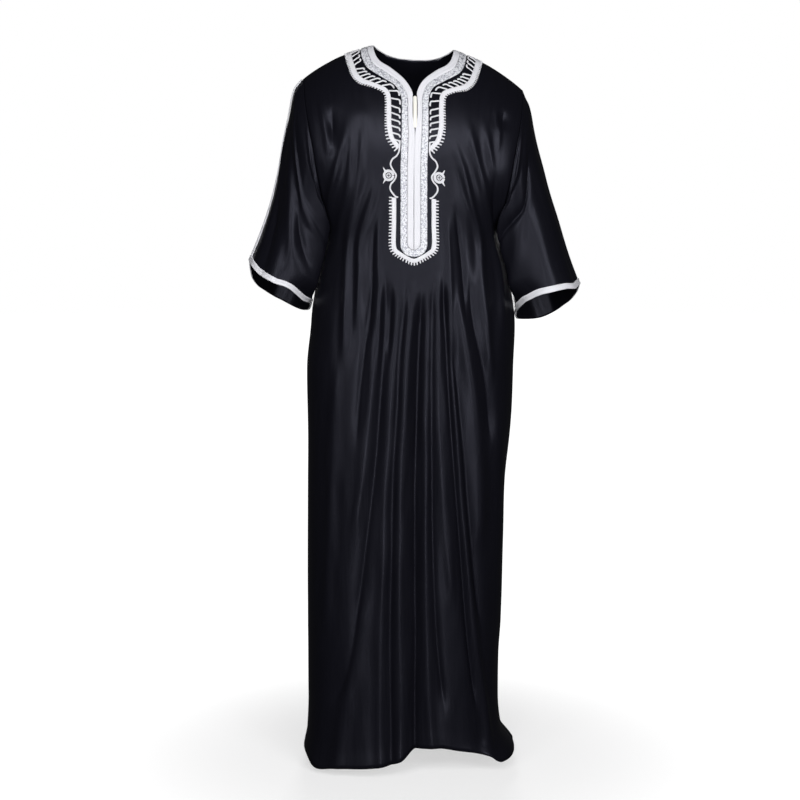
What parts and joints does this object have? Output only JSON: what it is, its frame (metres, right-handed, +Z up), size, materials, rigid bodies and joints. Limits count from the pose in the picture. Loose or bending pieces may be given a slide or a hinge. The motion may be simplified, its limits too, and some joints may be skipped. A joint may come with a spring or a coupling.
{
  "type": "ankle-length gandora robe",
  "caption": "Ankle-length black satin robe with wide elbow sleeves, a white braided neck and front band with corded borders and rosettes, worn shape, hollow and open at neck, cuffs and hem.",
  "frame": {"origin": "midway between the two places beside the neck where the shoulders carry the robe, level with the top of the shoulder ridge", "axes": "+X to the wearer's left, +Y to the wearer's back, +Z up along the hanging robe"},
  "size_m": [0.6746, 0.2945, 1.4709],
  "materials": {
    "satin": "black polyester satin, soft sheen",
    "braid": "white woven rayon braid",
    "galloon": "white braid with silver thread",
    "cord": "white couched cord",
    "zip": "ivory zip strip"
  },
  "bodies": {
    "root": {"front": "satin", "back": "satin", "sleeve_right": "satin", "sleeve_left": "satin", "braid": "braid", "galloon": "galloon", "zip": "zip", "border_right": "cord", "border_left": "cord", "border_back": "cord", "border_lower": "cord", "vine_right": "cord", "vine_left": "cord", "rosette_right": "cord", "rosette_left": "cord", "cuff_band_right": "braid", "cuff_band_left": "braid", "sleeve_cord_right_1": "cord", "sleeve_cord_right_2": "cord", "sleeve_cord_left_1": "cord", "sleeve_cord_left_2": "cord"}
  },
  "joints": []
}
